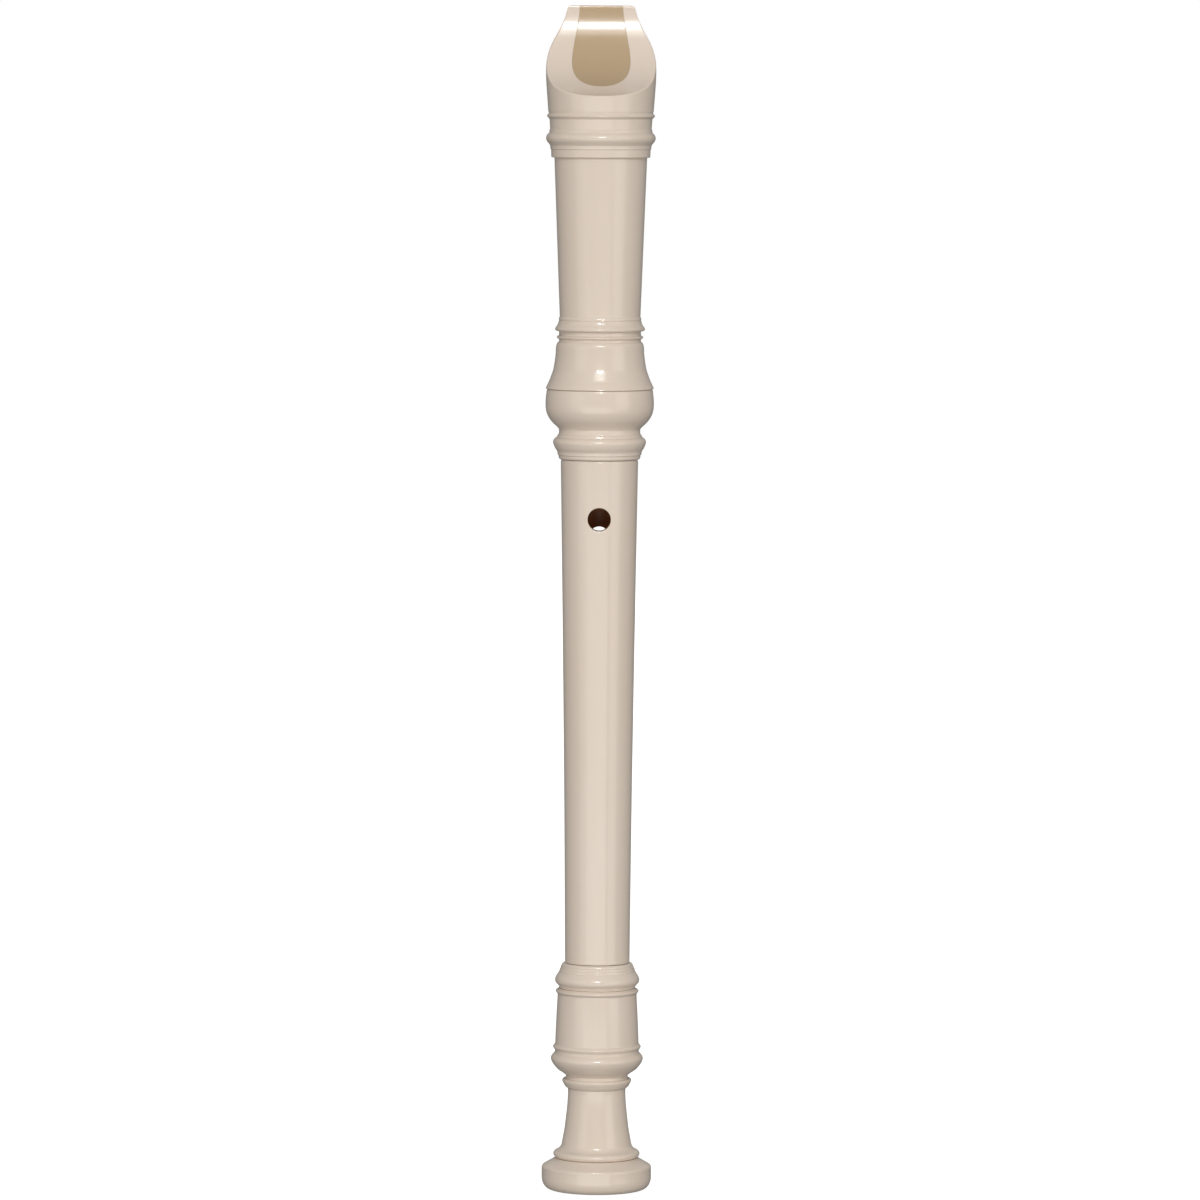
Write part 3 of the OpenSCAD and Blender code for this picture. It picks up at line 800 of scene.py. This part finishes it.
    # ---- outside of the beak
    zr = HEAD_ROWS[(HEAD_ROWS[:, 1] > beak_z + 0.03)][:, 1]
    t = np.concatenate([[0], (zr - beak_z) / (TOTAL - beak_z)])
    t[-1] = 1
    z_top, a_top = np.full(COLS, TOTAL), tip.copy()
    z_top[SIDE], a_top[SIDE] = z1, a1
    a_low = signed.copy()
    a_low[96] = math.pi
    a_top[96] = math.pi
    for arr in (a_top,):
        arr[97:] = np.where(arr[97:] > 0, arr[97:] - 2 * math.pi, arr[97:])
    tt = t[:, None]
    Zb = beak_z + (z_top[None] - beak_z) * tt
    Ab = a_low[None] + (a_top[None] - a_low[None]) * tt
    Rb, nrb, nzb = head_at(Zb)
    Pb = ring(Rb, Zb, Ab)
    Pb[0] = P[-1]
    Pb[-1][SIDE] = out1
    piece.grid(Pb, ring_n(nrb, nzb, Ab), wrap=True)

    # ---- seat and its edge
    s2 = np.interp(SEAT * np.cos(phi[SIDE]), CY, CS)
    s2[0] = s2[-1] = CS[-1]
    rim = ring(SEAT, np.interp(s2, CS, CZ), phi[SIDE])
    rim[0], rim[-1] = (HALF, EDGE_Y, TOTAL), (-HALF, EDGE_Y, TOTAL)
    n_seat, n_cut2 = ring_n(-1, 0, phi[SIDE]), on_cut(rim[:, 0], s2)[1]
    seat1, cut2 = rounded_edge(rim, n_seat, n_cut2, taper(rim, 0.1, 0.6), away, -inward)
    p1 = np.arctan2(seat1[:, 0], seat1[:, 1])
    ref = phi[SIDE]
    p1 = np.where(p1 - ref > math.pi, p1 - 2 * math.pi, np.where(p1 - ref < -math.pi, p1 + 2 * math.pi, p1))
    seat1 = ring(SEAT, seat1[:, 2], p1)
    s3 = np.interp(cut2[:, 1], CY, CS)
    s3[0] = s3[-1] = CS[-1]
    cut2 = on_cut(cut2[:, 0], s3)[0]
    seat1[0] = cut2[0] = rim[0]
    seat1[-1] = cut2[-1] = rim[-1]
    bezier_strip(piece, seat1, rim, cut2, n_seat, n_cut2, 3)
    tau = np.linspace(0, 1, 14)
    levels = EXIT + (TOTAL - EXIT) * tau
    zt = seat1[:, 2]
    sz = np.vstack([np.full((1, len(SIDE)), EXIT - 0.1), EXIT + (zt[None] - EXIT) * tau[:, None]])
    sa = np.vstack([ref[None], ref[None] + (p1 - ref)[None] * tau[:, None]])
    seat = ring(SEAT, sz, sa)
    seat[:, 0, 0], seat[:, -1, 0] = HALF, -HALF
    seat[:, 0, 1] = seat[:, -1, 1] = EDGE_Y
    piece.grid(seat, ring_n(-1, 0, sa))

    # ---- hollow, between the two edges
    f = np.array([0, 0.04, 0.12, 0.25, 0.4, 0.55, 0.7, 0.82, 0.92, 0.97, 1])[:, None]
    sheet, sheet_n = on_cut(cut1[None, :, 0] * (1 - f) + cut2[None, :, 0] * f,
                            s1[None] * (1 - f) + s3[None] * f)
    sheet[0], sheet[-1] = cut1, cut2
    piece.grid(sheet, sheet_n)

    # ---- windway roof and walls, and the wall over the window
    xs = np.linspace(-HALF, HALF, 27)
    roof = np.stack([np.repeat(xs[None], 14, 0), roof_y(xs[None], levels[:, None]),
                     np.repeat(levels[:, None], 27, 1)], -1)
    radial = roof[..., 1] - ARCH_Y
    piece.grid(roof, unit(np.stack([-roof[..., 0], -radial, np.full_like(radial, 0.14)], -1)))
    for x_wall, column in ((-HALF, 0), (HALF, 26)):
        top_y = roof[:, column, 1]
        ys = EDGE_Y + (top_y[:, None] - EDGE_Y) * np.array([0, 1 / 3, 2 / 3, 1])[None]
        wall = np.stack([np.full_like(ys, x_wall), ys, np.repeat(levels[:, None], 4, 1)], -1)
        piece.grid(wall, (-math.copysign(1, x_wall), 0, 0))
        # one flat side of ramp, window and undercut
        jw = 13 if x_wall > 0 else COLS - 13
        js = 0 if x_wall > 0 else -1
        jf = -1 if x_wall > 0 else 0
        outer_edge = [P[k, jw] for k in range(kb, kt + 1)]
        over = [P[kt, jw] + (roof[0, column] - P[kt, jw]) * q for q in (0.25, 0.5, 0.75, 1)]
        down = [wall[0, k] for k in (2, 1, 0)]
        seat_side = [seat[0, js]]
        ledge_side = [ledge[k, js] for k in (1, 0)]
        bore_side = [q for q in upper_bore[::-1, js]]
        under_side = [q for q in under[:, jf]]
        ramp_side = [q for q in ramp[::-1, jf]]
        piece.polygon(outer_edge + over + down + seat_side + ledge_side + bore_side
                      + under_side + ramp_side, (-math.copysign(1, x_wall), 0, 0))
    q = np.array([0, 0.25, 0.5, 0.75, 1])[:, None, None]
    piece.grid(P[kt][window][None] * (1 - q) + roof[0][None] * q, (0, 0, -1))

    # ---- flat end of the tip
    arc = [p for p in Pb[-1][np.arange(-30, 31)]]
    right = [p for p in sheet[1:, 0]]
    right_wall = [np.array([HALF, EDGE_Y + (roof[-1, 26, 1] - EDGE_Y) * k, TOTAL]) for k in (1 / 3, 2 / 3)]
    arch = [p for p in roof[-1][::-1]]
    left_wall = [np.array([-HALF, EDGE_Y + (roof[-1, 0, 1] - EDGE_Y) * k, TOTAL]) for k in (2 / 3, 1 / 3)]
    left = [p for p in sheet[::-1, -1]][:-1]
    piece.polygon(arc + right + right_wall + arch + left_wall + left, (0, 0, 1))
    return piece.build()


def make_block():
    piece = Piece("windway_block")
    n = len(SIDE)
    corner_y = (FLOOR_R**2 - BLOCK_R**2 - ARCH_Y**2) / 11
    corner = math.acos(corner_y / BLOCK_R)
    low_r = FLOOR_R - 0.3
    low_corner = math.acos((low_r**2 - BLOCK_R**2 - ARCH_Y**2) / 11 / BLOCK_R)
    phi = down_the_cut(lambda z: BLOCK_R, corner)[SIDE]
    phi0 = np.sign(phi) * (math.pi - (math.pi - np.abs(phi)) * (math.pi - low_corner) / (math.pi - corner))
    s = np.interp(BLOCK_R * np.cos(phi), CY, CS)
    rim = ring(BLOCK_R, np.interp(s, CS, CZ), phi)
    n_side, n_cut = ring_n(1, 0, phi), on_cut(rim[:, 0], s)[1]
    inward = unit(np.array([0, 3.0, TOTAL]) - rim)
    side1, cut1 = rounded_edge(rim, n_side, n_cut, taper(rim, 0.1, 0.6), np.array([0, 0, -1.0]) + 0 * rim, inward)
    p1 = np.arctan2(side1[:, 0], side1[:, 1])
    p1 = np.where(p1 - phi > math.pi, p1 - 2 * math.pi, np.where(p1 - phi < -math.pi, p1 + 2 * math.pi, p1))
    side1 = ring(BLOCK_R, side1[:, 2], p1)
    s1 = np.interp(cut1[:, 1], CY, CS)
    s1[0], s1[-1] = s[0], s[-1]
    cut1 = on_cut(cut1[:, 0], s1)[0]
    for arr in (side1, cut1):
        arr[0], arr[-1] = rim[0], rim[-1]
    bezier_strip(piece, side1, rim, cut1, n_side, n_cut, 3)
    # round side
    tau = np.linspace(0, 1, 12)[:, None]
    z = EXIT + 0.3 + (side1[None, :, 2] - EXIT - 0.3) * tau
    a = phi[None] + (p1 - phi)[None] * tau
    side = np.concatenate([ring(BLOCK_R, EXIT, phi0)[None], ring(BLOCK_R, z, a)])
    side[-1] = side1
    ang = np.vstack([phi0[None], a])
    piece.grid(side, ring_n(1, 0, ang))
    # hollowed face, one row across for each pair of columns
    half = (n - 1) // 2
    rows, nrm = [], []
    for m in range(half + 1):
        q = np.linspace(-1, 1, 25)
        p, k = on_cut(cut1[half - m, 0] * q, np.full(25, s1[half - m]))
        p[0], p[-1] = cut1[half + m], cut1[half - m]
        rows.append(p)
        nrm.append(k)
    piece.grid(np.array(rows), np.array(nrm))
    # windway floor with its chamfer
    w = abs(side[0, 0, 0])
    x = np.linspace(-w, w, 27)
    first = np.stack([x, ARCH_Y + np.sqrt(low_r**2 - x**2), np.full(27, EXIT)], -1)
    side_z0 = side[1:, 0, 2]
    full = []
    for zc in side_z0:
        x = np.linspace(-abs(side[1, 0, 0]), abs(side[1, 0, 0]), 27)
        full.append(np.stack([x, ARCH_Y + np.sqrt(FLOOR_R**2 - x**2), np.full(27, zc)], -1))
    full = np.array(full)
    full[:, 26], full[:, 0] = side[1:, 0], side[1:, -1]
    full[-1, 1:26, 2] = TOTAL
    first[26], first[0] = side[0, 0], side[0, -1]
    floor = np.concatenate([first[None], full])
    fnorm = unit(np.stack([floor[..., 0], floor[..., 1] - ARCH_Y, 0 * floor[..., 0]], -1))
    piece.grid(floor[1:], fnorm[1:])
    slope = fnorm[:2] + np.array([0, 0, -1.0])
    piece.grid(floor[:2], unit(slope))
    piece.polygon([p for p in side[0]] + [p for p in floor[0][1:26]], (0, 0, -1))
    piece.polygon([p for p in rows[-1]] + [p for p in floor[-1][25:0:-1]], (0, 0, 1))
    return piece.build()


# ------------------------------------------------------------ materials
def srgb(*c):
    return tuple((v / 255 / 12.92 if v <= 10 else ((v / 255 + 0.055) / 1.055)**2.4) for v in c) + (1.0,)


def moulded(name, base, warm, bore_shade_colour, roughness=0.3, coat=0.0):
    """Glossy moulded plastic: a soft flow of tone, a slightly uneven skin,
    and painted shade, a warmer, darker colour inside bores and holes."""
    mat = bpy.data.materials.new(name)
    mat.use_nodes = True
    nodes, links = mat.node_tree.nodes, mat.node_tree.links
    bsdf = nodes["Principled BSDF"]
    coord = nodes.new("ShaderNodeTexCoord")

    def noise(scale, detail, rough=0.5, stretch=None):
        n = nodes.new("ShaderNodeTexNoise")
        n.inputs["Scale"].default_value = scale
        n.inputs["Detail"].default_value = detail
        n.inputs["Roughness"].default_value = rough
        if stretch:
            m = nodes.new("ShaderNodeMapping")
            m.inputs["Scale"].default_value = stretch
            links.new(coord.outputs["Object"], m.inputs["Vector"])
            links.new(m.outputs["Vector"], n.inputs["Vector"])
        else:
            links.new(coord.outputs["Object"], n.inputs["Vector"])
        return n

    def ramp(source, lo, hi, a, b):
        m = nodes.new("ShaderNodeMapRange")
        m.inputs["From Min"].default_value, m.inputs["From Max"].default_value = lo, hi
        m.inputs["To Min"].default_value, m.inputs["To Max"].default_value = a, b
        links.new(source, m.inputs["Value"])
        return m.outputs["Result"]

    def mix(a, b, factor):
        m = nodes.new("ShaderNodeMix")
        m.data_type = "RGBA"
        for sock, value in ((m.inputs["A"], a), (m.inputs["B"], b)):
            if isinstance(value, tuple):
                sock.default_value = value
            else:
                links.new(value, sock)
        links.new(factor, m.inputs["Factor"])
        return m.outputs["Result"]

    flow = noise(55, 3, 0.55, (1, 1, 0.28))
    cloud = noise(14, 2)
    tone = mix(base, warm, ramp(flow.outputs["Fac"], 0.35, 0.68, 0, 0.55))
    tone = mix(tone, warm, ramp(cloud.outputs["Fac"], 0.4, 0.7, 0, 0.35))
    # painted shade: a darker, browner colour towards the axis, inside the bore and the holes,
    # the darkest by the thumb hole, far from both ends, where the bore is dimmest; the same mask turns the gloss
    # down there
    sep = nodes.new("ShaderNodeSeparateXYZ")
    links.new(coord.outputs["Object"], sep.inputs["Vector"])
    flat = nodes.new("ShaderNodeCombineXYZ")
    links.new(sep.outputs["X"], flat.inputs["X"])
    links.new(sep.outputs["Y"], flat.inputs["Y"])
    dist = nodes.new("ShaderNodeVectorMath")
    dist.operation = "LENGTH"
    links.new(flat.outputs["Vector"], dist.inputs[0])
    if bore_shade_colour is not None:
        middle = nodes.new("ShaderNodeMath")
        middle.operation = "MULTIPLY"
        links.new(ramp(sep.outputs["Z"], 0.145, 0.168, 0, 1), middle.inputs[0])
        links.new(ramp(sep.outputs["Z"], 0.200, 0.214, 1, 0), middle.inputs[1])
        # painted shade: a shaded tone near the bore's ends, the darkest one by the thumb hole
        painted_bore_shade = mix(srgb(184, 158, 132), bore_shade_colour, middle.outputs["Value"])
        tone = mix(painted_bore_shade, tone, ramp(dist.outputs["Value"], 0.0058, 0.0076, 0, 1))
        links.new(ramp(dist.outputs["Value"], 0.0058, 0.0076, 0, coat), bsdf.inputs["Coat Weight"])
        links.new(ramp(dist.outputs["Value"], 0.0058, 0.0076, 0.12, 0.5), bsdf.inputs["Specular IOR Level"])
    links.new(tone, bsdf.inputs["Base Color"])
    links.new(ramp(noise(420, 3).outputs["Fac"], 0.3, 0.7, roughness - 0.03, roughness + 0.04),
              bsdf.inputs["Roughness"])
    bsdf.inputs["IOR"].default_value = 1.5
    bsdf.inputs["Coat Weight"].default_value = coat
    bsdf.inputs["Coat Roughness"].default_value = 0.08
    bsdf.inputs["Subsurface Weight"].default_value = 0.06
    bsdf.inputs["Subsurface Radius"].default_value = (0.9, 0.55, 0.3)
    bsdf.inputs["Subsurface Scale"].default_value = 0.0012
    skin = nodes.new("ShaderNodeBump")
    skin.inputs["Strength"].default_value = 0.10
    skin.inputs["Distance"].default_value = 0.00005
    links.new(noise(260, 2).outputs["Fac"], skin.inputs["Height"])
    fine = nodes.new("ShaderNodeBump")
    fine.inputs["Strength"].default_value = 0.10
    fine.inputs["Distance"].default_value = 0.00002
    links.new(noise(2600, 2).outputs["Fac"], fine.inputs["Height"])
    links.new(skin.outputs["Normal"], fine.inputs["Normal"])
    links.new(fine.outputs["Normal"], bsdf.inputs["Normal"])
    return mat


# srgb(200, 134, 84) is painted shade deep in the bore, by the thumb hole
ivory = moulded("ivory_moulding", srgb(225, 211, 198), srgb(222, 206, 190), srgb(200, 134, 84), 0.20, 0.50)
ivory_ring = moulded("ivory_ring_moulding", srgb(226, 212, 199), srgb(223, 207, 192), None, 0.20, 0.45)
tan = moulded("tan_block_moulding", srgb(187, 163, 131), srgb(181, 156, 123), None, 0.20, 0.50)


# --------------------------------------------------------------- pieces
head = make_head()
block = make_block()
middle = make_middle()
foot = make_foot()
head_ring = closed_ring("head_socket_ring_moulding", HEAD_SLEEVE + GLUE, head_ring_line,
                        [[HEAD_END, HEAD_SLEEVE + GLUE, 0]])
foot_ring = closed_ring("foot_socket_ring_moulding", FOOT_SLEEVE + GLUE, foot_ring_line,
                        [[FOOT_SEAM + GLUE, FOOT_SLEEVE + GLUE, 0]])
base_ring = closed_ring("foot_base_ring_moulding", SPIGOT + GLUE, base_line,
                        [[0.8, SPIGOT + GLUE, 0], [0, SPIGOT + 1.2, 0]])

for obj, body, node, slot, mat in (
        (head, "head", "head_body", "ivory_plastic", ivory),
        (block, "head", "block", "tan_block", tan),
        (head_ring, "head", "head_socket_ring", "ring_plastic", ivory_ring),
        (middle, "middle", "middle_joint", "ivory_plastic", ivory),
        (foot, "foot", "foot_body", "ivory_plastic", ivory),
        (foot_ring, "foot", "foot_socket_ring", "ring_plastic", ivory_ring),
        (base_ring, "foot", "foot_base_ring", "ring_plastic", ivory_ring)):
    obj.data.materials.append(mat)
    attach(obj, body)
    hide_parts(node)

# ---------------------------------------------------------------- stage
scene = bpy.context.scene
scene.view_settings.view_transform = "Standard"
scene.view_settings.look = "None"


def plain(name, colour):
    mat = bpy.data.materials.new(name)
    mat.use_nodes = True
    bsdf = mat.node_tree.nodes["Principled BSDF"]
    bsdf.inputs["Base Color"].default_value = colour
    bsdf.inputs["Roughness"].default_value = 0.9
    bsdf.inputs["Specular IOR Level"].default_value = 0.1
    return mat


mesh = bpy.data.meshes.new("stage_floor")
size = 8.0
mesh.from_pydata([(-size, -size, 0), (size, -size, 0), (size, size, 0), (-size, size, 0)], [], [(0, 1, 2, 3)])
floor = bpy.data.objects.new("stage_floor", mesh)
floor.location.z = -0.0002
pale = plain("pale_floor", (0.26, 0.26, 0.26, 1))
pale.node_tree.nodes["Principled BSDF"].inputs["Emission Color"].default_value = (1, 1, 1, 1)
pale.node_tree.nodes["Principled BSDF"].inputs["Emission Strength"].default_value = 0.92
mesh.materials.append(pale)
floor.visible_diffuse = False
floor.visible_glossy = False
floor.visible_shadow = False
scene.collection.objects.link(floor)

# a white room to the camera, and a soft grey one, darker below and behind, as light
world = bpy.data.worlds.new("studio")
scene.world = world
world.use_nodes = True
wn, wl = world.node_tree.nodes, world.node_tree.links
wn.clear()
w_out = wn.new("ShaderNodeOutputWorld")
w_seen, w_light, w_mix = (wn.new("ShaderNodeBackground"), wn.new("ShaderNodeBackground"),
                          wn.new("ShaderNodeMixShader"))
w_light.inputs["Color"].default_value = (1, 0.985, 0.955, 1)
w_seen.inputs["Color"].default_value = (1, 1, 1, 1)
w_path, w_coord, w_sep, w_map = (wn.new("ShaderNodeLightPath"), wn.new("ShaderNodeTexCoord"),
                                 wn.new("ShaderNodeSeparateXYZ"), wn.new("ShaderNodeMapRange"))
w_map.inputs["From Min"].default_value, w_map.inputs["From Max"].default_value = -1, 1
w_map.inputs["To Min"].default_value, w_map.inputs["To Max"].default_value = 0.20, 0.50
wl.new(w_coord.outputs["Generated"], w_sep.inputs["Vector"])
wl.new(w_sep.outputs["Z"], w_map.inputs["Value"])
w_side, w_both = wn.new("ShaderNodeMapRange"), wn.new("ShaderNodeMath")
w_side.inputs["From Min"].default_value, w_side.inputs["From Max"].default_value = -1, 1
w_side.inputs["To Min"].default_value, w_side.inputs["To Max"].default_value = 1.2, 0.5
w_both.operation = "MULTIPLY"
wl.new(w_sep.outputs["Y"], w_side.inputs["Value"])
wl.new(w_map.outputs["Result"], w_both.inputs[0])
wl.new(w_side.outputs["Result"], w_both.inputs[1])
wl.new(w_both.outputs["Value"], w_light.inputs["Strength"])
wl.new(w_path.outputs["Is Camera Ray"], w_mix.inputs["Fac"])
wl.new(w_light.outputs["Background"], w_mix.inputs[1])
wl.new(w_seen.outputs["Background"], w_mix.inputs[2])
wl.new(w_mix.outputs["Shader"], w_out.inputs["Surface"])


def softbox(name, where, aim, width, height, watts, colour=(1, 1, 1)):
    data = bpy.data.lights.new(name, "AREA")
    data.shape = "RECTANGLE"
    data.size, data.size_y = width, height
    data.energy = watts
    data.color = colour
    obj = bpy.data.objects.new(name, data)
    obj.location = where
    obj.rotation_euler = (Vector(aim) - Vector(where)).to_track_quat("-Z", "Y").to_euler()
    scene.collection.objects.link(obj)
    return obj


softbox("key", (0.04, -1.95, 1.30), (0, 0, 0.2), 0.55, 0.30, 13)
softbox("high_fill", (0, -1.82, 1.56), (0, 0, 0.2), 0.9, 0.36, 2.8)
softbox("right_fill", (1.69, -1.41, 0.35), (0, 0, 0.17), 1.2, 1.6, 6.4, (1, 0.96, 0.89))
softbox("left_fill", (-1.69, -1.41, 0.35), (0, 0, 0.17), 1.2, 1.6, 4.0, (1, 0.96, 0.89))
softbox("low_fill", (-0.2, -2.2, -0.5), (0, 0, 0.17), 3.0, 1.0, 13.5, (1, 0.985, 0.945))
# lights the far side only; a gleam of it would show along the near side's edges
softbox("back_fill", (0, 2.4, 1.5), (0, 0, 0.2), 1.6, 0.6, 44).visible_glossy = False

# --------------------------------------------------------------- camera
data = bpy.data.cameras.new("camera")
data.sensor_width = 36
data.lens = 7458 * 36 / 1200
data.clip_end = 50
camera = bpy.data.objects.new("camera", data)
camera.location = (0, -2.070, 0.3147)
look = (Vector((0.00032, 0, 0.16504)) - camera.location).to_track_quat("-Z", "Y")
camera.rotation_mode = "QUATERNION"
camera.rotation_quaternion = look @ Quaternion((0, 0, 1), math.radians(0.255))
scene.collection.objects.link(camera)
scene.camera = camera
